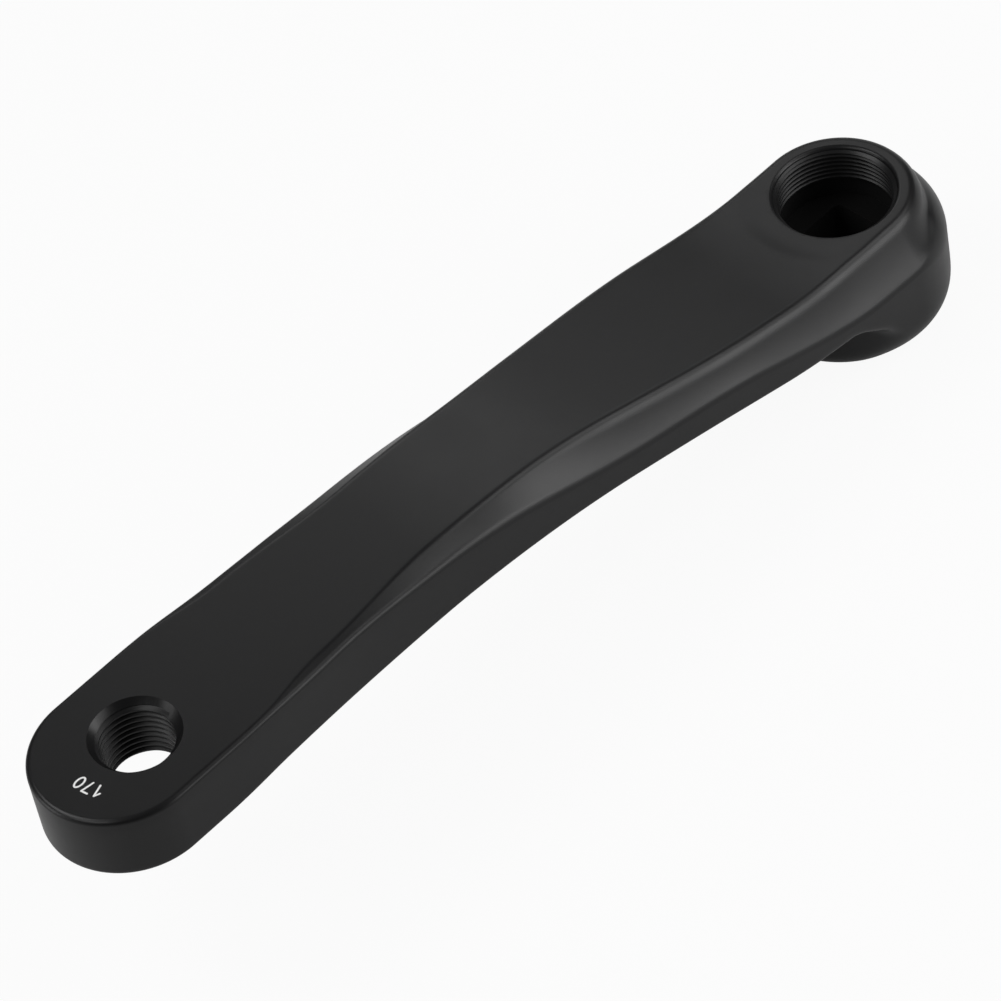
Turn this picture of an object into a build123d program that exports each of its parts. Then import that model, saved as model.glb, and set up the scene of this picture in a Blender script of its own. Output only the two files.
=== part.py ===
from build123d import *
import os
from math import cos, radians, sin, sqrt, tan

# Left crank arm of a bicycle, for a square taper spindle, forged in one piece.
# The spindle axis is Z and the pedal axis is parallel to it, at X = crank_length.
# Heights are worked out from the boss's outer face, which looks along +Z. The finished arm
# is lifted so that the boss's back face lies at Z = 0. All sizes are in millimetres.

# Arm
crank_length = 170.0           # spindle axis to pedal axis
arm_offset = 14.6              # pedal face above the boss's outer face
thickness_boss = 12.1          # of the arm beside the boss, measured along Z
thickness_pedal = 13.4         # of the arm at the pedal end
thicken_start = 45.0           # spindle axis to where it starts to thicken
thicken_end = 105.0
waist_half_width = 13.95       # side wall from the centre line, where the arm is slimmest
waist_from_spindle = 126.0     # the arm reaches that width here
waist_from_pedal = 42.0        # and widens again from here
pedal_end_radius = 15.15
pedal_end_reach = 19.3         # pedal axis to the tip of the arm
pedal_end_start = 9.0          # the section stays the same from here, before the pedal axis

# Bend that carries the arm outwards, two arcs with a straight run between them
bend_start = 9.0               # spindle axis to the first arc
bend_angle = 11.3              # degrees
inner_bend_radius = 100.0
outer_bend_radius = 230.0

# Sloping facet between the top face and each side wall
facet_drop_boss = 9.0          # depth of its foot below the top face, at the boss
facet_drop_shank = 6.1         # the same along the shank
facet_shank_start = 25.0       # from the spindle axis
facet_shank_end = 58.0
facet_run_boss = 5.7           # its width in plan at the boss
facet_run_shank = 3.7          # its width in plan along the shank
facet_narrow_start = 65.0      # its width starts to close this far before the pedal axis
facet_narrow_end = 28.0
facet_rise_end = 30.0          # its foot has risen to the edge this far before the pedal axis
edge_break = 0.8               # what is left of it at the pedal end

# Boss
boss_radius = 19.0
boss_depth = 27.7              # outer face to back face
boss_back_radius = 15.4
boss_taper_depth = 3.5         # cone from the wall to the back face
boss_front_relief = 0.1        # under the arm the wall stands this much further in
spot_face_radius = 14.4        # machined ring face around the extractor thread
spot_face_depth = 0.2          # below the arm's top face beside it
haunch_length = 18.0           # from the spindle axis, where the arm deepens into the boss

# Edges
crease_radius = 1.1            # top face to facet
facet_foot_radius = 1.1        # facet to side wall
underside_radius = 1.2         # side wall to underside
boss_edge_radius = 1.5         # cone of the boss to its back face
boss_wall_radius = 4.0         # wall of the boss to that cone

# Extractor thread M22 x 1 in the boss, bored to its minor diameter
extractor_bore = 20.92
extractor_countersink = 1.24   # depth and width of the countersink at the face
extractor_depth = 11.8         # outer face to the seat of the crank bolt

# Square taper hole, smaller at the bolt seat
taper_flats_seat = 12.48       # across flats at the seat
taper_angle = 2.0              # degrees, each flat to the axis
taper_corner_radius = 1.5

# Pedal thread 9/16 inch x 20, bored to its minor diameter
pedal_bore = 12.91
pedal_countersink = 1.55       # depth and width of the countersinks at both faces

# Sections that the arm's skin passes through, which gather towards the boss
section_count = 32
section_gather = 1.4

bend = radians(bend_angle)
end_centre = crank_length + pedal_end_reach - pedal_end_radius
end_start = crank_length - pedal_end_start
boss_wall_foot = boss_taper_depth - boss_depth


def ease(share):
    """A share from 0 to 1, eased so that it starts and ends level."""
    held = min(max(share, 0.0), 1.0)
    return held * held * (3 - 2 * held)


def blend(x, x_from, x_to, value_from, value_to):
    return value_from + (value_to - value_from) * ease((x - x_from) / (x_to - x_from))


def before_pedal(distance):
    return crank_length - distance


def top_height(x):
    """Height of the top face, the same all across the arm."""
    inner_end = bend_start + inner_bend_radius * sin(bend)
    inner_top = spot_face_depth + inner_bend_radius * (1 - cos(bend))
    outer_rise = outer_bend_radius * (1 - cos(bend))
    outer_start = inner_end + (arm_offset - inner_top - outer_rise) / tan(bend)
    outer_end = outer_start + outer_bend_radius * sin(bend)
    if x <= bend_start:
        return spot_face_depth
    if x < inner_end:
        centre = spot_face_depth + inner_bend_radius
        return centre - sqrt(inner_bend_radius**2 - (x - bend_start) ** 2)
    if x < outer_start:
        return inner_top + (x - inner_end) * tan(bend)
    if x < outer_end:
        return arm_offset - outer_bend_radius + sqrt(outer_bend_radius**2 - (outer_end - x) ** 2)
    return arm_offset


def underside_height(x):
    """Height of the underside, which dips into the boss."""
    thickness = blend(x, thicken_start, thicken_end, thickness_boss, thickness_pedal)
    return blend(x, 0, haunch_length, boss_wall_foot, top_height(x) - thickness)


def wall_half_width(x):
    tapered = blend(x, 0, waist_from_spindle, boss_radius, waist_half_width)
    widening = pedal_end_radius - waist_half_width
    return tapered + blend(x, before_pedal(waist_from_pedal), end_start, 0, widening)


def facet_run(x):
    shank = blend(x, 0, facet_shank_end, facet_run_boss, facet_run_shank)
    closing = edge_break - facet_run_shank
    start = before_pedal(facet_narrow_start)
    return shank + blend(x, start, before_pedal(facet_narrow_end), 0, closing)


def facet_drop(x):
    shank = blend(x, 0, facet_shank_start, facet_drop_boss, facet_drop_shank)
    closing = edge_break - facet_drop_shank
    return shank + blend(x, facet_shank_end, before_pedal(facet_rise_end), 0, closing)


def half_section(x):
    """Corners of the arm's section on the +Y side, from the top face to the underside."""
    top = top_height(x)
    wall = wall_half_width(x)
    crease = (wall - facet_run(x), top)
    facet_foot = (wall, top - facet_drop(x))
    wall_foot = (wall, underside_height(x))
    return [crease, facet_foot, wall_foot]


section_radii = [crease_radius, facet_foot_radius, underside_radius]


def arm_section(x):
    right = half_section(x)
    left = [(-y, z) for y, z in reversed(right)]
    radii = section_radii + section_radii[::-1]
    with BuildSketch(Plane(origin=(x, 0, 0), x_dir=(0, 1, 0), z_dir=(1, 0, 0))) as section:
        with BuildLine():
            FilletPolyline(*right, *left, radius=radii, close=True)
        make_face()
    return section.sketch


def make_arm():
    shares = [index / (section_count - 1) for index in range(section_count)]
    return loft([arm_section(end_start * share**section_gather) for share in shares])


def turned(corners, radii, facing):
    """Half a turned body about Z, on the side that is this many degrees from +Y."""
    with BuildPart() as body:
        with BuildSketch(Plane.XZ):
            with BuildLine():
                FilletPolyline(*corners, radius=radii)
                Line(corners[-1], corners[0])
            make_face()
        revolve(axis=Axis.Z, revolution_arc=180)
    return Rot(0, 0, facing) * body.part


toward_pedal = -90
away_from_pedal = 90


def make_pedal_end():
    corners = half_section(end_start)
    profile = [(0, corners[0][1]), *corners, (0, corners[-1][1])]
    straight = extrude(arm_section(end_start), amount=end_centre - end_start)
    return straight + Pos(end_centre, 0, 0) * turned(profile, section_radii, toward_pedal)


def make_boss_back():
    """The half of the boss beyond the spindle axis, which is also the arm's round end."""
    profile = [
        (0, spot_face_depth),
        (boss_radius - facet_run_boss, spot_face_depth),
        (boss_radius, spot_face_depth - facet_drop_boss),
        (boss_radius, boss_wall_foot),
        (boss_back_radius, -boss_depth),
        (0, -boss_depth),
    ]
    radii = [crease_radius, facet_foot_radius, boss_wall_radius, boss_edge_radius]
    return turned(profile, radii, away_from_pedal)


def make_boss_front():
    """The other half, from inside the arm down to the back face."""
    radius = boss_radius - boss_front_relief
    back_radius = boss_back_radius - boss_front_relief
    profile = [
        (0, -thickness_boss / 2),
        (back_radius, -thickness_boss / 2),
        (radius, -thickness_boss),
        (radius, boss_wall_foot),
        (back_radius, -boss_depth),
        (0, -boss_depth),
    ]
    radii = [boss_edge_radius, boss_edge_radius, boss_wall_radius, boss_edge_radius]
    return turned(profile, radii, toward_pedal)


def make_spot_face():
    return Pos(0, 0, spot_face_radius / 2) * Cylinder(spot_face_radius, spot_face_radius)


def make_extractor_bore():
    radius = extractor_bore / 2
    bore = Pos(0, 0, -extractor_depth / 2) * Cylinder(radius, extractor_depth)
    mouth = Cone(radius, radius + extractor_countersink, extractor_countersink)
    return bore + Pos(0, 0, -extractor_countersink / 2) * mouth


def make_taper_hole():
    length = boss_depth - extractor_depth
    flats_back = taper_flats_seat + 2 * length * tan(radians(taper_angle))
    seat = RectangleRounded(taper_flats_seat, taper_flats_seat, taper_corner_radius)
    back = RectangleRounded(flats_back, flats_back, taper_corner_radius)
    return loft([Pos(0, 0, -extractor_depth) * seat, Pos(0, 0, -boss_depth) * back])


def make_pedal_hole():
    radius = pedal_bore / 2
    mouth_radius = radius + pedal_countersink
    face = top_height(crank_length)
    underside = underside_height(crank_length)
    bore = Pos(0, 0, (face + underside) / 2) * Cylinder(radius, face - underside)
    outer = Cone(radius, mouth_radius, pedal_countersink)
    inner = Cone(mouth_radius, radius, pedal_countersink)
    outer = Pos(0, 0, face - pedal_countersink / 2) * outer
    inner = Pos(0, 0, underside + pedal_countersink / 2) * inner
    return Pos(crank_length, 0, 0) * (bore + outer + inner)


crank_arm = make_arm() + make_pedal_end() + make_boss_back() + make_boss_front()
crank_arm = crank_arm - make_spot_face()
crank_arm = crank_arm - make_extractor_bore() - make_taper_hole() - make_pedal_hole()
crank_arm = Pos(0, 0, boss_depth) * crank_arm

os.makedirs("parts", exist_ok=True)
export_step(crank_arm, "parts/crank_arm.step")
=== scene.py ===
import math

import bpy
import numpy as np
from mathutils import Matrix, Vector


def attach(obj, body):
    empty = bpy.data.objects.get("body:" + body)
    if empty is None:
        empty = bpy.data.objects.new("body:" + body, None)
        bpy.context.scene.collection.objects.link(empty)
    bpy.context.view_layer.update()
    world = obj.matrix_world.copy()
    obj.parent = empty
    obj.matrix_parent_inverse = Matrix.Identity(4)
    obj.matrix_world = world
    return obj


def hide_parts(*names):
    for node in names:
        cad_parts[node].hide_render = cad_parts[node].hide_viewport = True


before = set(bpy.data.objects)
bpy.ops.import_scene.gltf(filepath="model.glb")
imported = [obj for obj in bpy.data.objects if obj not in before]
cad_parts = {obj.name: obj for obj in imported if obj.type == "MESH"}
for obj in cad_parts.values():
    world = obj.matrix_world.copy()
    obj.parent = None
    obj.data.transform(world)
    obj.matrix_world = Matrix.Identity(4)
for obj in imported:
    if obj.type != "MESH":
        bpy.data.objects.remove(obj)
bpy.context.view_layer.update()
print("frame loaded, nodes:", len(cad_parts))


# small helpers

def deselectAll():
    if bpy.context.object and bpy.context.object.mode != "OBJECT":
        bpy.ops.object.mode_set(mode="OBJECT")
    bpy.ops.object.select_all(action="DESELECT")


def pick(piece):
    deselectAll()
    piece.select_set(True)
    bpy.context.view_layer.objects.active = piece


def applyModifier(piece, modifier):
    pick(piece)
    bpy.ops.object.modifier_apply(modifier=modifier.name)


def editAll(piece):
    pick(piece)
    bpy.ops.object.mode_set(mode="EDIT")
    bpy.ops.mesh.select_all(action="SELECT")


def leaveEdit():
    bpy.ops.object.mode_set(mode="OBJECT")


def closeAndTurnOut(piece, gap):
    editAll(piece)
    bpy.ops.mesh.remove_doubles(threshold=gap)
    bpy.ops.mesh.normals_make_consistent(inside=False)
    leaveEdit()


def deselectIn(piece, mode):
    # nothing selected in edit mode, ready for selecting edges or faces in code
    pick(piece)
    bpy.ops.object.mode_set(mode="EDIT")
    bpy.ops.mesh.select_mode(type=mode)
    bpy.ops.mesh.select_all(action="DESELECT")
    leaveEdit()


def makeOutline(name, points):
    # an open line in the XZ plane: a circle with its points moved and its closing edge deleted
    deselectAll()
    bpy.ops.mesh.primitive_circle_add(vertices=len(points), radius=0.01)
    outline = bpy.context.object
    outline.name = name
    for vertex, (across, height) in zip(outline.data.vertices, points):
        vertex.co = (across, 0, height)
    ends = {0, len(points) - 1}
    deselectIn(outline, "EDGE")
    for edge in outline.data.edges:
        edge.select = set(edge.vertices) == ends
    bpy.ops.object.mode_set(mode="EDIT")
    bpy.ops.mesh.delete(type="EDGE")
    bpy.ops.mesh.select_mode(type="VERT")
    leaveEdit()
    return outline


def ease(share):
    held = min(max(share, 0.0), 1.0)
    return held * held * (3 - 2 * held)


def blend(x, xFrom, xTo, valueFrom, valueTo):
    return valueFrom + (valueTo - valueFrom) * ease((x - xFrom) / (xTo - xFrom))


# the forging, in metres; its heights are from the boss's outer ring face, and it is lifted at the end
arm = {
    "crankLength": 0.170,        # spindle axis to pedal axis
    "pedalOffset": 0.0146,       # pedal face above the ring face
    "bossDepth": 0.0277,         # ring face to back face
    "bossRadius": 0.019,
    "bossBackRadius": 0.0154,
    "bossTaper": 0.0035,         # height of the cone at the back
    "bossWallRadius": 0.004,     # rounding between the wall and that cone
    "ringDrop": 0.00012,         # ring face below the arm's top beside it
    "ringRadius": 0.0132,        # the ring face is flat up to here
    "ringEdge": 0.0048,          # width of its soft edge
    "haunch": 0.018,             # the arm deepens into the boss from here
    "thickBoss": 0.0121,
    "thickPedal": 0.0134,
    "thickStart": 0.045,
    "thickEnd": 0.105,
    "slimming": 0.00065,         # the arm is this much thinner just before the pedal end
    "slimFrom": (0.128, 0.152),
    "slimTo": (0.152, 0.166),
    "waistHalf": 0.01395,
    "waistAt": 0.126,
    "widenAt": 0.128,
    "widenEnd": 0.161,
    "endRadius": 0.01515,
    "endReach": 0.0193,          # pedal axis to the tip
    "bendStart": 0.009,
    "bendAngle": 11.3,           # degrees
    "innerBend": 0.100,
    "outerBend": 0.230,
    "flatBoss": 0.0127,          # half width of the flat top, at the boss
    "flatNeck": 0.0131,
    "flatSpread": (0.010, 0.028),        # it spreads a little from here to there
    "flatWaist": 0.00985,
    "flatPedal": 0.01182,
    "flatNarrow": (0.036, 0.090),        # and narrows
    "flatWiden": (0.112, 0.140),
    "flatEnd": (0.138, 0.155),           # and runs out to the rounded edge of the pedal end
    "endRounding": 0.00105,
    "facetSlope": 61.0,          # degrees below the top face
    "facetSlopePedal": 21.0,
    "facetTwist": (0.064, 0.138),
    "facetHollow": 4.0,          # degrees that it is steeper at its top, and less steep at its foot
    "facetFlat": (0.060, 0.110),
    "creaseTurn": 51.0,          # the crease is tight up to this slope
    "creaseTight": 0.0020,
    "creaseTightEnd": 0.0010,
    "creaseEasy": 0.0055,
    "footRadius": 0.0028,
    "footRadiusPedal": 0.0013,
    "footRadiusEnd": 0.0010,
    "footSharpen": (0.090, 0.128),
    "collarTurn": 0.64,          # the collar of the boss's end is full here
    "collarSlope": 80.0,
    "collarLate": 2.0,           # how late its foot turns out into the shoulder
    "shoulderSlope": 42.0,
    "shoulderRadius": 0.0084,
    "lowerRounding": 0.0005,     # spread of the rounding along the underside's edges
    "haunchRounding": 0.0010,    # and where the arm meets the boss
    "haunchFade": (0.019, 0.034),
    "bossRounding": 0.0020,      # and at the boss, where that edge fades out
    "bossFade": (0.006, 0.013),
    "lowerStart": 0.002,         # the rounding starts this far above the underside
    "lowerStartBoss": 0.0052,    # and this far at the boss
    "lowerStartFade": (0.008, 0.015),
}
armEndCentre = arm["crankLength"] + arm["endReach"] - arm["endRadius"]
bossConeWidth = arm["bossRadius"] - arm["bossBackRadius"]
bossConeTurn = math.atan2(bossConeWidth, arm["bossTaper"])
bossWallEnd = arm["bossTaper"] + arm["bossWallRadius"] * math.tan(bossConeTurn / 2)
bossWallFoot = bossWallEnd - arm["bossDepth"]

# how many points each stretch of the half outline gets, from the top's middle to the underside's middle
outlineSteps = {"top": 14, "tight": 9, "easy": 4, "facet": 12, "foot": 9, "wall": 4,
                "edge": 18, "under": 6, "boss": 34}
backSteps = 24                   # points down the boss's rounding and cone, before they are spaced
finePitch = 0.0001               # of a line while its corners are rounded
mergeGap = 2e-6
stationSteps = {"bossEnd": 44, "bossFront": 30, "shank": 120, "pedalEnd": 36}


def topHeight(x):
    bend = math.radians(arm["bendAngle"])
    innerR = arm["innerBend"]
    outerR = arm["outerBend"]
    innerEnd = arm["bendStart"] + innerR * math.sin(bend)
    innerTop = arm["ringDrop"] + innerR * (1 - math.cos(bend))
    outerRise = outerR * (1 - math.cos(bend))
    outerStart = innerEnd + (arm["pedalOffset"] - innerTop - outerRise) / math.tan(bend)
    outerEnd = outerStart + outerR * math.sin(bend)
    if x <= arm["bendStart"]:
        return blend(x, 0, arm["bendStart"], 0, arm["ringDrop"])
    if x < innerEnd:
        return arm["ringDrop"] + innerR - math.sqrt(innerR**2 - (x - arm["bendStart"]) ** 2)
    if x < outerStart:
        return innerTop + (x - innerEnd) * math.tan(bend)
    if x < outerEnd:
        return arm["pedalOffset"] - outerR + math.sqrt(outerR**2 - (outerEnd - x) ** 2)
    return arm["pedalOffset"]


def underHeight(x):
    thick = blend(x, arm["thickStart"], arm["thickEnd"], arm["thickBoss"], arm["thickPedal"])
    thick -= blend(x, *arm["slimFrom"], 0, arm["slimming"])
    thick += blend(x, *arm["slimTo"], 0, arm["slimming"])
    return blend(x, 0, arm["haunch"], bossWallFoot, topHeight(x) - thick)


def lowerStart(x):
    # height where the rounding of the underside's edge starts
    return underHeight(x) + blend(x, *arm["lowerStartFade"], arm["lowerStartBoss"], arm["lowerStart"])


def wallHalf(x):
    slim = blend(x, 0, arm["waistAt"], arm["bossRadius"], arm["waistHalf"])
    return slim + blend(x, arm["widenAt"], arm["widenEnd"], 0, arm["endRadius"] - arm["waistHalf"])


def flatHalf(x):
    shank = blend(x, *arm["flatSpread"], arm["flatBoss"], arm["flatNeck"])
    shank += blend(x, *arm["flatNarrow"], 0, arm["flatWaist"] - arm["flatNeck"])
    shank += blend(x, *arm["flatWiden"], 0, arm["flatPedal"] - arm["flatWaist"])
    return blend(x, *arm["flatEnd"], shank, wallHalf(x) - arm["endRounding"])


def facetSlopes(x, collar):
    # slopes of the facet at its top and its foot, in degrees
    middle = blend(x, *arm["facetTwist"], arm["facetSlope"], arm["facetSlopePedal"])
    hollow = blend(x, *arm["facetFlat"], arm["facetHollow"], 0)
    steep = middle + hollow
    shallow = middle - hollow
    steep += collar * (arm["collarSlope"] - steep)
    shallow += collar * (arm["shoulderSlope"] - shallow)
    return steep, shallow


def footRadius(x, collar):
    radius = blend(x, *arm["footSharpen"], arm["footRadius"], arm["footRadiusPedal"])
    radius = blend(x, *arm["flatEnd"], radius, arm["footRadiusEnd"])
    return radius + collar * (arm["shoulderRadius"] - radius)


def ringSink(x, y):
    # how far the ring face lies below the arm's top at this place
    off = (math.hypot(x, y) - arm["ringRadius"]) / arm["ringEdge"]
    return topHeight(x) * (1 - ease(off))


def bent(start, slopes, length, steps, late=1):
    # points along a stretch of this length, whose slope turns from one angle to the other
    y, z = start
    points = []
    for step in range(steps):
        share = ((step + 0.5) / steps) ** late
        slope = math.radians(slopes[0] + (slopes[1] - slopes[0]) * share)
        y += length / steps * math.cos(slope)
        z -= length / steps * math.sin(slope)
        points.append((y, z))
    return points


def upperOutline(x, turn):
    # top, crease, facet, foot and wall; turn goes from 0 to 1 round the boss's end
    top = topHeight(x)
    wall = wallHalf(x)
    flat = flatHalf(x)
    collar = ease(turn / arm["collarTurn"])
    steep, shallow = facetSlopes(x, collar)
    tightTo = min(steep, arm["creaseTurn"])
    tightR = blend(x, *arm["flatEnd"], arm["creaseTight"], arm["creaseTightEnd"])
    late = 1 + collar * arm["collarLate"]
    footR = footRadius(x, collar)
    nearCrease = flat - 0.3 * tightR               # the top's points gather towards here
    points = []
    for step in range(outlineSteps["top"] + 1):
        share = math.sin(math.pi / 2 * step / outlineSteps["top"])
        points.append((nearCrease * share, top))
    points.append((flat, top))
    tightLength = tightR * math.radians(tightTo)
    points += bent(points[-1], (0, tightTo), tightLength, outlineSteps["tight"])
    easyLength = arm["creaseEasy"] * math.radians(steep - tightTo)
    points += bent(points[-1], (tightTo, steep), easyLength, outlineSteps["easy"])
    facetStart = points[-1]
    footLength = footR * math.radians(90 - shallow)
    footRun = bent((0, 0), (shallow, 90), footLength, outlineSteps["foot"])[-1][0]
    facetShare = bent((0, 0), (steep, shallow), 1, outlineSteps["facet"], late)[-1][0]
    facetLength = max(wall - footRun - facetStart[0], 1e-5) / facetShare
    points += bent(facetStart, (steep, shallow), facetLength, outlineSteps["facet"], late)
    points += bent(points[-1], (shallow, 90), footLength, outlineSteps["foot"])
    footEnd = points[-1][1]
    for step in range(1, outlineSteps["wall"] + 1):
        share = step / outlineSteps["wall"]
        points.append((wall, footEnd + (lowerStart(x) - footEnd) * share))
    if x > arm["ringRadius"] + arm["ringEdge"]:
        return points
    sunk = []
    for y, z in points:
        kept = max(0.0, 1 - (top - z) / (top - footEnd))
        sunk.append((y, z - kept * ringSink(x, y)))
    return sunk


def finely(corners):
    # the same line with close, even points
    fine = [corners[0]]
    for start, end in zip(corners, corners[1:]):
        count = max(1, round(math.dist(start, end) / finePitch))
        for step in range(1, count + 1):
            share = step / count
            fine.append(tuple(a + (b - a) * share for a, b in zip(start, end)))
    return np.array(fine)


def rounding(x):
    boss = blend(x, *arm["bossFade"], arm["bossRounding"], arm["haunchRounding"])
    return blend(x, *arm["haunchFade"], boss, arm["lowerRounding"])


def rounded(line, spread):
    # corners rounded by a weighted mean along the line
    reach = int(3 * spread / finePitch)
    steps = np.arange(-reach, reach + 1) * finePitch
    weights = np.exp(-0.5 * (steps / spread) ** 2)
    weights /= weights.sum()
    before = line[0] + np.arange(reach, 0, -1)[:, None] * np.array([[0.0, finePitch]])
    after = line[-2:-reach - 2:-1] * np.array([[-1.0, 1.0]])      # the other half of the section
    padded = np.vstack([before, line, after])
    smooth = [np.convolve(padded[:, axis], weights, mode="valid") for axis in (0, 1)]
    result = np.column_stack(smooth)
    result[-1, 0] = 0.0
    return result


def spaced(line, count, nearCount=0, near=0.0):
    # count points after the first, evenly along the line, but nearCount of them on its near stretch
    gaps = np.hypot(*np.diff(line, axis=0).T)
    reach = np.concatenate([[0.0], np.cumsum(gaps)])
    near = min(near, reach[-1] * nearCount / count)
    at = np.concatenate([np.linspace(0.0, near, nearCount + 1)[1:],
                         np.linspace(near, reach[-1], count - nearCount + 1)[1:]])
    return [(np.interp(s, reach, line[:, 0]), np.interp(s, reach, line[:, 1])) for s in at]


def bossBackHeight(r):
    # height of the boss's rounding and cone at this distance from the spindle axis
    curve = arm["bossWallRadius"]
    inward = arm["bossRadius"] - r
    if inward < curve * (1 - math.cos(bossConeTurn)):
        return bossWallFoot - math.sqrt(curve**2 - (curve - inward) ** 2)
    return (r - arm["bossBackRadius"]) / bossConeWidth * arm["bossTaper"] - arm["bossDepth"]


def lowerOutline(x, overBoss):
    # bottom edge and underside, then the boss where the station still cuts it
    wall = wallHalf(x)
    under = underHeight(x)
    radius = arm["bossRadius"]
    backRadius = arm["bossBackRadius"]
    back = -arm["bossDepth"]
    inner = math.sqrt(max(radius**2 - x**2, 0.0))
    edge = [(wall, lowerStart(x)), (wall, under)]
    if inner < wall - 1e-6:
        edge.append((inner, under))
    edgeLine = finely(edge)
    edgeCount = outlineSteps["edge"]
    corner = lowerStart(x) - under + 3 * rounding(x)
    if not overBoss:
        line = rounded(edgeLine, rounding(x))
        points = spaced(line, edgeCount + outlineSteps["under"], edgeCount, corner)
        return points + [(0.0, under)] * outlineSteps["boss"]
    boss = [(inner, under)]
    if under > bossWallFoot + 1e-6:
        boss.append((inner, bossWallFoot))
    lowest = max(backRadius, x)
    for step in range(1, backSteps + 1):
        r = radius + (lowest - radius) * (step / backSteps) ** 1.5
        boss.append((math.sqrt(max(r * r - x * x, 0.0)), bossBackHeight(r)))
    if x < backRadius:
        boss.append((0.0, back))
    bossLine = finely(boss)
    line = rounded(np.vstack([edgeLine, bossLine[1:]]), rounding(x))
    meet = len(edgeLine)
    points = spaced(line[:meet], edgeCount + outlineSteps["under"], edgeCount, corner)
    return points + spaced(line[meet - 1:], outlineSteps["boss"])


def stations():
    rows = []
    steps = stationSteps["bossEnd"]
    for step in range(steps):
        angle = math.pi - math.pi / 2 * step / steps
        turn = -math.cos(angle)
        half = upperOutline(0, turn) + lowerOutline(0, True)
        rows.append([(y * math.cos(angle), y * math.sin(angle), z) for y, z in half])
    steps = stationSteps["bossFront"]
    for step in range(steps + 1):
        x = arm["bossRadius"] * math.sin(math.pi / 2 * step / steps)
        rows.append([(x, y, z) for y, z in upperOutline(x, 0) + lowerOutline(x, True)])
    steps = stationSteps["shank"]
    for step in range(steps + 1):
        x = arm["bossRadius"] + (armEndCentre - arm["bossRadius"]) * step / steps
        rows.append([(x, y, z) for y, z in upperOutline(x, 0) + lowerOutline(x, False)])
    steps = stationSteps["pedalEnd"]
    half = upperOutline(armEndCentre, 0) + lowerOutline(armEndCentre, False)
    for step in range(1, steps + 1):
        angle = math.pi / 2 - math.pi / 2 * step / steps
        rows.append([(armEndCentre + y * math.cos(angle), y * math.sin(angle), z) for y, z in half])
    return rows


def makeSkin():
    rows = stations()
    across = len(rows[0])
    deselectAll()
    bpy.ops.mesh.primitive_grid_add(x_subdivisions=len(rows) - 1, y_subdivisions=across - 1, size=1)
    skin = bpy.context.object
    skin.name = "crankArm"
    for vertex in skin.data.vertices:
        row = round((vertex.co.x + 0.5) * (len(rows) - 1))
        column = round((vertex.co.y + 0.5) * (across - 1))
        x, y, z = rows[row][column]
        vertex.co = (x, y if y > mergeGap else 0.0, z + arm["bossDepth"])
    editAll(skin)
    bpy.ops.mesh.remove_doubles(threshold=mergeGap)
    bpy.ops.mesh.dissolve_degenerate(threshold=mergeGap / 2)
    deselectIn(skin, "FACE")
    offPlane = [abs(vertex.co.y) for vertex in skin.data.vertices]
    for face in skin.data.polygons:                # what lies flat in the mirror's plane
        face.select = max(offPlane[index] for index in face.vertices) < mergeGap
    bpy.ops.object.mode_set(mode="EDIT")
    bpy.ops.mesh.delete(type="FACE")
    bpy.ops.mesh.select_mode(type="VERT")
    leaveEdit()
    mirror = skin.modifiers.new("otherSide", "MIRROR")
    mirror.use_axis = (False, True, False)
    mirror.merge_threshold = mergeGap
    applyModifier(skin, mirror)
    closeAndTurnOut(skin, mergeGap)
    return skin


crankArm = makeSkin()
print("forging:", len(crankArm.data.polygons), "faces")


# the holes
extractor = {
    "minor": 0.02092 / 2,        # M22 x 1
    "major": 0.022 / 2,
    "pitch": 0.001,
    "plain": 0.02212 / 2,        # unthreaded stretch at the mouth
    "plainDepth": 0.0012,
    "plainRise": 0.0005,         # the thread runs out into it over this height
    "rounding": 0.0008,          # of the mouth's edge
    "roundingTurn": 72.0,        # degrees; past that the edge runs straight into the face
    "roundingSteps": 6,
    "threadDepth": 0.0076,
    "relief": 0.0222 / 2,        # below the thread
    "reliefRise": 0.0008,        # and its sloping top
    "depth": 0.0118,
    "around": 120,
    "mouthAround": 150,
}
pedalThread = {
    "minor": 0.01291 / 2,        # 9/16 inch x 20, left hand
    "major": 0.0142875 / 2,
    "pitch": 0.00127,
    "rim": 0.01601 / 2,
    "rimUnder": 0.0148 / 2,      # the countersink below is smaller
    "mouthDepth": 1.25,          # of a countersink, as a share of its width
    "mouthStep": 0.62,           # it is steeper down to this share of its depth
    "around": 96,
    "mouthAround": 130,
}
squareTaper = {
    "flats": 0.01248,            # across the flats at the bolt seat
    "angle": 2.0,
    "corner": 0.0015,
}
cutOver = 0.0006                 # cutters stand this far out of the face they cut
cutInset = 0.0001                # and their feet lie this far inside the bore


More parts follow.
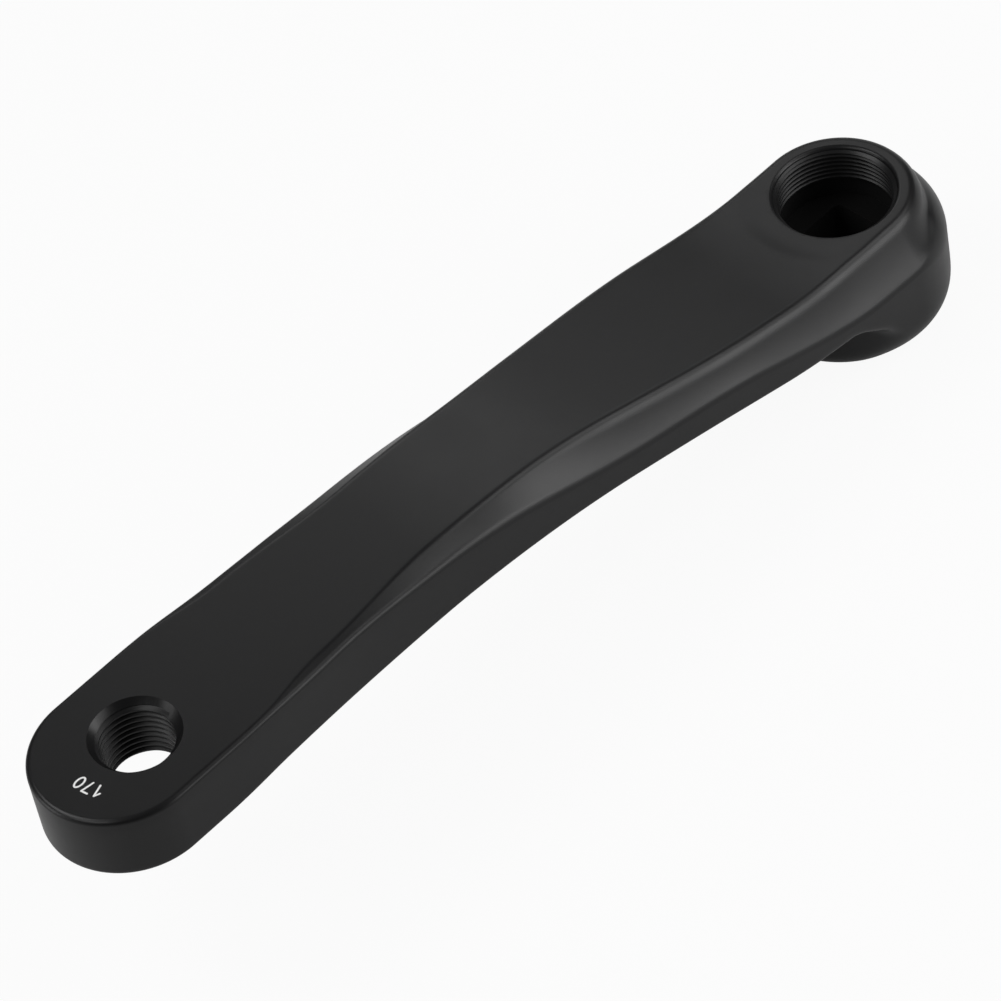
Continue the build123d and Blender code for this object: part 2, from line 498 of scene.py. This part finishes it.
def makeTap(name, thread, middle, low, high, leftHand):
    # one tooth's outline, turned into a screw and cut off square at both ends
    pitch = thread["pitch"]
    tooth = [(thread["minor"], 0.0), (thread["minor"], 0.25), (thread["major"], 0.5625)]
    tooth += [(thread["major"], 0.6875), (thread["minor"], 1.0)]
    spare = 2                                      # turns past each end, which are cut off
    turns = math.ceil((high - low) / pitch) + 2 * spare
    tap = makeOutline(name, [(radius, low + pitch * (share - spare)) for radius, share in tooth])
    screw = tap.modifiers.new("turns", "SCREW")
    screw.axis = "Z"
    screw.angle = -2 * math.pi if leftHand else 2 * math.pi
    screw.screw_offset = pitch
    screw.iterations = turns
    screw.steps = thread["around"]
    screw.render_steps = thread["around"]
    screw.use_merge_vertices = True
    screw.merge_threshold = 1e-6
    applyModifier(tap, screw)
    editAll(tap)
    bpy.ops.mesh.remove_doubles(threshold=1e-6)
    for height, side in ((low, -1), (high, 1)):
        bpy.ops.mesh.select_all(action="SELECT")
        bpy.ops.mesh.bisect(plane_co=(0, 0, height), plane_no=(0, 0, side), use_fill=True,
                            clear_outer=True, threshold=1e-7)
    bpy.ops.mesh.select_all(action="SELECT")
    bpy.ops.mesh.normals_make_consistent(inside=False)
    bpy.ops.transform.translate(value=middle)
    leaveEdit()
    return tap


def makeTurned(name, profile, middle, around):
    # a body turned about the upright axis at middle; its profile starts and ends on the axis
    body = makeOutline(name, profile)
    lathe = body.modifiers.new("lathe", "SCREW")
    lathe.axis = "Z"
    lathe.steps = around
    lathe.render_steps = around
    lathe.use_merge_vertices = True
    lathe.merge_threshold = 1e-7
    applyModifier(body, lathe)
    editAll(body)
    bpy.ops.mesh.remove_doubles(threshold=1e-7)
    bpy.ops.mesh.dissolve_degenerate(threshold=1e-7)
    bpy.ops.mesh.select_all(action="SELECT")
    bpy.ops.mesh.normals_make_consistent(inside=False)
    bpy.ops.transform.translate(value=(middle[0], middle[1], 0))
    leaveEdit()
    return body


def countersink(thread, rim, face, up):
    # profile of a steep countersink that opens towards the face
    deep = thread["mouthDepth"] * (rim - thread["minor"])
    foot = face - up * deep
    stepDeep = thread["mouthStep"] * deep
    over = cutOver * (rim - thread["major"]) / stepDeep
    return [(0, foot), (thread["minor"] - cutInset, foot), (thread["major"], face - up * stepDeep),
            (rim + over, face + up * cutOver), (0, face + up * cutOver)]


def roundMouth(face):
    # plain stretch at the extractor's mouth, with a rounded edge that ends nearly level
    radius = extractor["rounding"]
    turn = math.radians(extractor["roundingTurn"])
    plain = extractor["plain"]
    foot = face - extractor["plainDepth"]
    profile = [(0, foot), (extractor["minor"] - cutInset, foot), (plain, foot + extractor["plainRise"])]
    for step in range(extractor["roundingSteps"] + 1):
        angle = turn * step / extractor["roundingSteps"]
        across = plain + radius * (1 - math.cos(angle))
        profile.append((across, face - radius + radius * math.sin(angle)))
    reach = (face + cutOver - profile[-1][1]) * math.tan(turn)
    profile += [(profile[-1][0] + reach, face + cutOver), (0, face + cutOver)]
    return profile


def makeSquareHole(seat):
    # tapering square with rounded corners, through the floor and the back face
    spread = math.tan(math.radians(squareTaper["angle"]))
    low = -cutOver
    high = seat + cutOver
    deselectAll()
    bpy.ops.mesh.primitive_cube_add(size=1, location=(0, 0, (low + high) / 2))
    square = bpy.context.object
    square.name = "squareCut"
    square.scale = (squareTaper["flats"], squareTaper["flats"], high - low)
    bpy.ops.object.transform_apply(location=True, rotation=True, scale=True)
    for vertex in square.data.vertices:
        half = squareTaper["flats"] / 2 + (seat - vertex.co.z) * spread
        vertex.co.x = math.copysign(half, vertex.co.x)
        vertex.co.y = math.copysign(half, vertex.co.y)
    deselectIn(square, "EDGE")
    for edge in square.data.edges:
        a, b = (square.data.vertices[i].co for i in edge.vertices)
        edge.select = abs(a.z - b.z) > seat / 2
    bpy.ops.object.mode_set(mode="EDIT")
    bpy.ops.mesh.bevel(offset=squareTaper["corner"], segments=6, affect="EDGES")
    bpy.ops.mesh.select_mode(type="VERT")
    leaveEdit()
    return square


def cutOut(piece, cutter):
    cut = piece.modifiers.new("cut", "BOOLEAN")
    cut.operation = "DIFFERENCE"
    cut.solver = "EXACT"
    cut.object = cutter
    applyModifier(piece, cut)
    bpy.data.objects.remove(cutter, do_unlink=True)


ringFace = arm["bossDepth"]
boltSeat = ringFace - extractor["depth"]
pedalFace = ringFace + arm["pedalOffset"]
pedalUnder = pedalFace - arm["thickPedal"]
pedalAxis = (arm["crankLength"], 0, 0)
threadFoot = ringFace - extractor["threadDepth"]
reliefTop = threadFoot + extractor["reliefRise"]
reliefProfile = [(0, boltSeat), (extractor["relief"], boltSeat), (extractor["relief"], threadFoot),
                 (extractor["minor"] - 3 * cutInset, reliefTop), (0, reliefTop)]
bossAxis = (0, 0, 0)
cutOut(crankArm, makeTap("extractorCut", extractor, bossAxis, threadFoot, ringFace + cutOver, False))
cutOut(crankArm, makeTurned("reliefCut", reliefProfile, bossAxis, extractor["mouthAround"]))
cutOut(crankArm, makeSquareHole(boltSeat))
cutOut(crankArm, makeTurned("extractorMouth", roundMouth(ringFace), bossAxis, extractor["mouthAround"]))
cutOut(crankArm, makeTap("pedalCut", pedalThread, pedalAxis, pedalUnder - cutOver,
                         pedalFace + cutOver, True))
for face, rim, up in ((pedalFace, "rim", 1), (pedalUnder, "rimUnder", -1)):
    profile = countersink(pedalThread, pedalThread[rim], face, up)
    cutOut(crankArm, makeTurned("pedalMouth", profile, pedalAxis, pedalThread["mouthAround"]))
pick(crankArm)
bpy.ops.object.shade_smooth_by_angle(angle=math.radians(28))
print("holes cut:", len(crankArm.data.polygons), "faces")


# plain size figures on the pedal face, the crank length in millimetres
sizeFigures = {
    "text": "170",
    "feet": 0.0114,              # pedal axis to the feet of the figures
    "height": 0.0023,            # stroke middle to stroke middle
    "width": 0.0012,
    "stroke": 0.00035,
    "firstAngle": 17.8,          # degrees round the pedal axis
    "angleStep": -8.7,
    "sunk": 0.00005,
    "proud": 0.000005,
}
figureStrokes = {                # across and up, as shares of a figure's width and height
    "1": [((0.15, 0.0), (0.15, 1.0)), ((0.15, 1.0), (-0.45, 0.66))],
    "7": [((-0.5, 1.0), (0.5, 1.0)), ((0.5, 1.0), (-0.15, 0.0))],
}


def raiseFlat(piece):
    editAll(piece)
    rise = sizeFigures["sunk"] + sizeFigures["proud"]
    bpy.ops.mesh.extrude_region_move(TRANSFORM_OT_translate={"value": (0, 0, rise)})
    bpy.ops.mesh.select_all(action="SELECT")
    bpy.ops.mesh.normals_make_consistent(inside=False)
    leaveEdit()


def makeStroke(start, end):
    # a disc, with the half of its rim that looks to the other end moved there
    size = Vector((sizeFigures["width"], sizeFigures["height"]))
    first = Vector(start) * size
    along = Vector(end) * size - first
    deselectAll()
    bpy.ops.mesh.primitive_circle_add(vertices=24, radius=sizeFigures["stroke"] / 2, fill_type="NGON")
    stroke = bpy.context.object
    for vertex in stroke.data.vertices:
        ahead = vertex.co.xy.dot(along) > 0
        vertex.co.xy += first + (along if ahead else Vector((0, 0)))
    raiseFlat(stroke)
    return stroke


def makeRound():
    # the nought: an oval disc, inset by the stroke and opened
    wide = sizeFigures["width"] + sizeFigures["stroke"]
    tall = sizeFigures["height"] + sizeFigures["stroke"]
    deselectAll()
    bpy.ops.mesh.primitive_circle_add(vertices=48, radius=0.5, fill_type="NGON")
    nought = bpy.context.object
    for vertex in nought.data.vertices:
        vertex.co.x *= wide
        vertex.co.y = vertex.co.y * tall + sizeFigures["height"] / 2
    editAll(nought)
    bpy.ops.mesh.inset(thickness=sizeFigures["stroke"], use_even_offset=True)
    bpy.ops.mesh.delete(type="FACE")
    leaveEdit()
    raiseFlat(nought)
    return nought


def makeFigure(letter):
    if letter not in figureStrokes:
        return makeRound()
    strokes = [makeStroke(start, end) for start, end in figureStrokes[letter]]
    join = strokes[0].modifiers.new("join", "BOOLEAN")
    join.operation = "UNION"
    join.solver = "EXACT"
    join.object = strokes[1]
    applyModifier(strokes[0], join)
    bpy.data.objects.remove(strokes[1], do_unlink=True)
    return strokes[0]


def makeSizeFigures():
    figures = []
    for index, letter in enumerate(sizeFigures["text"]):
        figure = makeFigure(letter)
        angle = math.radians(sizeFigures["firstAngle"] + index * sizeFigures["angleStep"])
        up = Vector((math.cos(angle), math.sin(angle), 0))
        right = Vector((math.sin(angle), -math.cos(angle), 0))
        foot = Vector((arm["crankLength"], 0, pedalFace - sizeFigures["sunk"]))
        foot += up * sizeFigures["feet"]
        for vertex in figure.data.vertices:
            x, y, z = vertex.co
            vertex.co = foot + right * x + up * y + Vector((0, 0, z))
        figures.append(figure)
    deselectAll()
    for figure in figures:
        figure.select_set(True)
    bpy.context.view_layer.objects.active = figures[0]
    bpy.ops.object.join()
    figures[0].name = "sizeFigures"
    closeAndTurnOut(figures[0], 1e-7)
    return figures[0]


sizeMark = makeSizeFigures()
print("size figures:", len(sizeMark.data.polygons), "faces")


# finish
satin = {
    "colour": (0.007, 0.007, 0.0073, 1.0),
    "specular": 0.26,
    "roughness": 0.33,
    "roughnessSpread": 0.03,
    "grain": 4200.0,             # blasted grain, about 0.25 mm
    "grainDepth": 0.000012,
    "grainStrength": 0.5,
    "cloud": 90.0,               # slow change of the sheen
    "cloudRange": (0.3, 0.7),
    "boreRadius": 0.0116,        # deep in the spindle bore the colour is painted darker, as painted shade, and the surface is dull
    "boreInner": 0.0115,         # fully so inside this radius
    "boreBand": (0.0006, 0.0012, 0.0196, 0.0206),        # heights where that starts and ends
    "boreRoughness": 0.95,
    # painted shade: the darker colour given to the bore's deep walls and floor
    "boreShadeColour": (0.002, 0.002, 0.002, 1.0),
}


def makeStep(nodes, links, value, start, end):
    # 0 before start, 1 past end
    step = nodes.new("ShaderNodeMapRange")
    step.inputs["From Min"].default_value = start
    step.inputs["From Max"].default_value = end
    links.new(value, step.inputs["Value"])
    return step.outputs["Result"]


def makeProduct(nodes, links, first, second):
    product = nodes.new("ShaderNodeMath")
    product.operation = "MULTIPLY"
    links.new(first, product.inputs[0])
    links.new(second, product.inputs[1])
    return product.outputs[0]


# mask for where the bore gets painted shade and dull roughness, by radius and height
def makeBoreShadeMask(nodes, links, coords):
    split = nodes.new("ShaderNodeSeparateXYZ")
    flat = nodes.new("ShaderNodeVectorMath")
    flat.operation = "MULTIPLY"
    flat.inputs[1].default_value = (1, 1, 0)
    radius = nodes.new("ShaderNodeVectorMath")
    radius.operation = "LENGTH"
    links.new(coords.outputs["Object"], split.inputs["Vector"])
    links.new(coords.outputs["Object"], flat.inputs[0])
    links.new(flat.outputs["Vector"], radius.inputs[0])
    low, lowFull, highFull, high = satin["boreBand"]
    within = makeStep(nodes, links, radius.outputs["Value"], satin["boreRadius"], satin["boreInner"])
    above = makeStep(nodes, links, split.outputs["Z"], low, lowFull)
    below = makeStep(nodes, links, split.outputs["Z"], high, highFull)
    return makeProduct(nodes, links, within, makeProduct(nodes, links, above, below))


def makeSatinBlack():
    material = bpy.data.materials.new("satinBlack")
    material.use_nodes = True
    nodes = material.node_tree.nodes
    links = material.node_tree.links
    shader = nodes["Principled BSDF"]
    shader.inputs["Specular IOR Level"].default_value = satin["specular"]
    coords = nodes.new("ShaderNodeTexCoord")
    grain = nodes.new("ShaderNodeTexNoise")
    grain.inputs["Scale"].default_value = satin["grain"]
    grain.inputs["Detail"].default_value = 2.0
    cloud = nodes.new("ShaderNodeTexNoise")
    cloud.inputs["Scale"].default_value = satin["cloud"]
    cloud.inputs["Detail"].default_value = 3.0
    sheen = nodes.new("ShaderNodeMapRange")
    sheen.inputs["From Min"].default_value = satin["cloudRange"][0]
    sheen.inputs["From Max"].default_value = satin["cloudRange"][1]
    sheen.inputs["To Min"].default_value = satin["roughness"] - satin["roughnessSpread"]
    sheen.inputs["To Max"].default_value = satin["roughness"] + satin["roughnessSpread"]
    bump = nodes.new("ShaderNodeBump")
    bump.inputs["Strength"].default_value = satin["grainStrength"]
    bump.inputs["Distance"].default_value = satin["grainDepth"]
    boreShadeAndDull = makeBoreShadeMask(nodes, links, coords)
    dull = nodes.new("ShaderNodeMix")
    dull.inputs["B"].default_value = satin["boreRoughness"]
    # painted shade: mixes the darker colour in deep in the bore
    boreShadeTint = nodes.new("ShaderNodeMix")
    boreShadeTint.data_type = "RGBA"
    boreShadeTint.inputs[6].default_value = satin["colour"]
    boreShadeTint.inputs[7].default_value = satin["boreShadeColour"]
    links.new(boreShadeAndDull, dull.inputs["Factor"])
    links.new(boreShadeAndDull, boreShadeTint.inputs["Factor"])
    links.new(boreShadeTint.outputs[2], shader.inputs["Base Color"])
    links.new(coords.outputs["Object"], grain.inputs["Vector"])
    links.new(coords.outputs["Object"], cloud.inputs["Vector"])
    links.new(cloud.outputs["Fac"], sheen.inputs["Value"])
    links.new(sheen.outputs["Result"], dull.inputs["A"])
    links.new(dull.outputs["Result"], shader.inputs["Roughness"])
    links.new(grain.outputs["Fac"], bump.inputs["Height"])
    links.new(bump.outputs["Normal"], shader.inputs["Normal"])
    return material


whiteInk = {
    "thick": (0.86, 0.86, 0.85, 1.0),
    "thin": (0.66, 0.66, 0.66, 1.0),     # where the grain of the face shows through
    "cover": (0.32, 0.5),                # from thin to thick
    "speckle": 6000.0,
    "roughness": 0.6,
}


def makeWhiteInk():
    material = bpy.data.materials.new("whiteInk")
    material.use_nodes = True
    nodes = material.node_tree.nodes
    links = material.node_tree.links
    shader = nodes["Principled BSDF"]
    shader.inputs["Roughness"].default_value = whiteInk["roughness"]
    coords = nodes.new("ShaderNodeTexCoord")
    speckle = nodes.new("ShaderNodeTexNoise")
    speckle.inputs["Scale"].default_value = whiteInk["speckle"]
    speckle.inputs["Detail"].default_value = 2.0
    cover = nodes.new("ShaderNodeValToRGB")
    for element, place, shade in zip(cover.color_ramp.elements, whiteInk["cover"], ("thin", "thick")):
        element.position = place
        element.color = whiteInk[shade]
    links.new(coords.outputs["Object"], speckle.inputs["Vector"])
    links.new(speckle.outputs["Fac"], cover.inputs["Fac"])
    links.new(cover.outputs["Color"], shader.inputs["Base Color"])
    return material


sizeMark.data.materials.clear()
sizeMark.data.materials.append(makeWhiteInk())
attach(sizeMark, "root")
crankArm.data.materials.clear()
crankArm.data.materials.append(makeSatinBlack())
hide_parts("crank_arm")
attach(crankArm, "root")
print("finish done")


# floor, light and camera
studio = {
    "floorSize": 6.0,
    "floorDrop": 0.0002,         # below the boss's back face
    "floorColour": (0.68, 0.68, 0.68, 1.0),
    "floorRoughness": 0.9,
    "seenWhite": 0.93,           # share of plain white in the floor that the camera sees
    "mirroredWhite": 0.1,        # and in the floor that the arm mirrors
    "mirroredSky": 0.05,         # brightness of the room above, as the arm mirrors it
    "aim": (0.085, 0.0, 0.03),   # the softboxes look here
    "reach": 0.55,
    "softbox": 0.24,             # width and height of each
}
softboxes = {                    # azimuth from +X, elevation, brightness
    "pedalEnd": (0, 42, 3.2),
    "side": (105, 16, 2.81),
    "sideLow": (120, 8, 1.59),
    "bossCorner": (135, 16, 4.87),
    "overSide": (135, 60, 1.16),
    "overFacet": (120, 40, 0.8),
    "bossHigh": (150, 42, 3.25),
    "farLow": (210, 8, 0.49),
    "far": (210, 42, 1.4),
    "backLow": (240, 25, 1.22),
    "back": (240, 42, 0.96),
    "overPedal": (315, 53, 5.6),
    "pedalRim": (330, 8, 3.25),
}


def makeFloor():
    deselectAll()
    bpy.ops.mesh.primitive_plane_add(size=studio["floorSize"], location=(0, 0, -studio["floorDrop"]))
    floor = bpy.context.object
    floor.name = "floor"
    material = bpy.data.materials.new("floorWhite")
    material.use_nodes = True
    nodes = material.node_tree.nodes
    links = material.node_tree.links
    shader = nodes["Principled BSDF"]
    shader.inputs["Base Color"].default_value = studio["floorColour"]
    shader.inputs["Roughness"].default_value = studio["floorRoughness"]
    white = nodes.new("ShaderNodeEmission")
    path = nodes.new("ShaderNodeLightPath")
    seen = nodes.new("ShaderNodeMath")
    seen.operation = "MAXIMUM"
    seenShare = nodes.new("ShaderNodeMath")
    seenShare.operation = "MULTIPLY"
    seenShare.inputs[1].default_value = studio["seenWhite"]
    mirroredShare = nodes.new("ShaderNodeMath")
    mirroredShare.operation = "MULTIPLY"
    mirroredShare.inputs[1].default_value = studio["mirroredWhite"]
    share = nodes.new("ShaderNodeMath")
    share.operation = "MAXIMUM"
    mix = nodes.new("ShaderNodeMixShader")
    links.new(path.outputs["Is Camera Ray"], seen.inputs[0])
    links.new(path.outputs["Is Transmission Ray"], seen.inputs[1])
    links.new(seen.outputs[0], seenShare.inputs[0])
    links.new(path.outputs["Is Glossy Ray"], mirroredShare.inputs[0])
    links.new(seenShare.outputs[0], share.inputs[0])
    links.new(mirroredShare.outputs[0], share.inputs[1])
    links.new(share.outputs[0], mix.inputs["Fac"])
    links.new(shader.outputs["BSDF"], mix.inputs[1])
    links.new(white.outputs["Emission"], mix.inputs[2])
    links.new(mix.outputs["Shader"], nodes["Material Output"].inputs["Surface"])
    floor.data.materials.append(material)


def makeWorld():
    # white to the camera, nearly dark to the arm: the softboxes light it
    world = bpy.data.worlds.new("studio")
    bpy.context.scene.world = world
    world.use_nodes = True
    nodes = world.node_tree.nodes
    links = world.node_tree.links
    sky = nodes["Background"]
    sky.inputs["Color"].default_value = (1, 1, 1, 1)
    path = nodes.new("ShaderNodeLightPath")
    seen = nodes.new("ShaderNodeMath")
    seen.operation = "MAXIMUM"
    mirrored = nodes.new("ShaderNodeMath")
    mirrored.operation = "MULTIPLY"
    mirrored.inputs[1].default_value = studio["mirroredSky"]
    share = nodes.new("ShaderNodeMath")
    share.operation = "MAXIMUM"
    links.new(path.outputs["Is Camera Ray"], seen.inputs[0])
    links.new(path.outputs["Is Transmission Ray"], seen.inputs[1])
    links.new(path.outputs["Is Glossy Ray"], mirrored.inputs[0])
    links.new(seen.outputs[0], share.inputs[0])
    links.new(mirrored.outputs[0], share.inputs[1])
    links.new(share.outputs[0], sky.inputs["Strength"])


def makeSoftboxes():
    aim = Vector(studio["aim"])
    size = studio["softbox"]
    for name, (azimuth, elevation, brightness) in softboxes.items():
        turn = math.radians(azimuth)
        rise = math.radians(elevation)
        flat = math.cos(rise)
        away = Vector((math.cos(turn) * flat, math.sin(turn) * flat, math.sin(rise)))
        lamp = bpy.data.lights.new(name, "AREA")
        lamp.shape = "SQUARE"
        lamp.size = size
        lamp.energy = brightness * math.pi * size * size       # the panel's own brightness, white is 1
        box = bpy.data.objects.new(name, lamp)
        bpy.context.scene.collection.objects.link(box)
        box.location = aim + away * studio["reach"]
        box.rotation_euler = away.to_track_quat("Z", "Y").to_euler()
        box.visible_camera = False


view = {
    "azimuth": 142.43,           # degrees; 0 looks along +Y
    "elevation": 47.27,
    "roll": -11.85,
    "aim": (0.08786, 0.00092, 0.02542),
    "distance": 0.9131,
    "lens": 192.75,
    "sensor": 36.0,
}


def makeCamera():
    azimuth = math.radians(view["azimuth"])
    elevation = math.radians(view["elevation"])
    roll = math.radians(view["roll"])
    flat = math.cos(elevation)
    back = Vector((math.sin(azimuth) * flat, -math.cos(azimuth) * flat, math.sin(elevation)))
    side = Vector((math.cos(azimuth), math.sin(azimuth), 0))
    up = back.cross(side)
    right = side * math.cos(roll) + up * math.sin(roll)
    above = up * math.cos(roll) - side * math.sin(roll)
    data = bpy.data.cameras.new("photoCamera")
    data.lens = view["lens"]
    data.sensor_width = view["sensor"]
    camera = bpy.data.objects.new("photoCamera", data)
    bpy.context.scene.collection.objects.link(camera)
    turn = Matrix((right, above, back)).transposed().to_4x4()
    turn.translation = Vector(view["aim"]) + back * view["distance"]
    camera.matrix_world = turn
    bpy.context.scene.camera = camera


makeFloor()
makeWorld()
makeSoftboxes()
makeCamera()
bpy.context.scene.view_settings.view_transform = "Standard"
print("studio done")
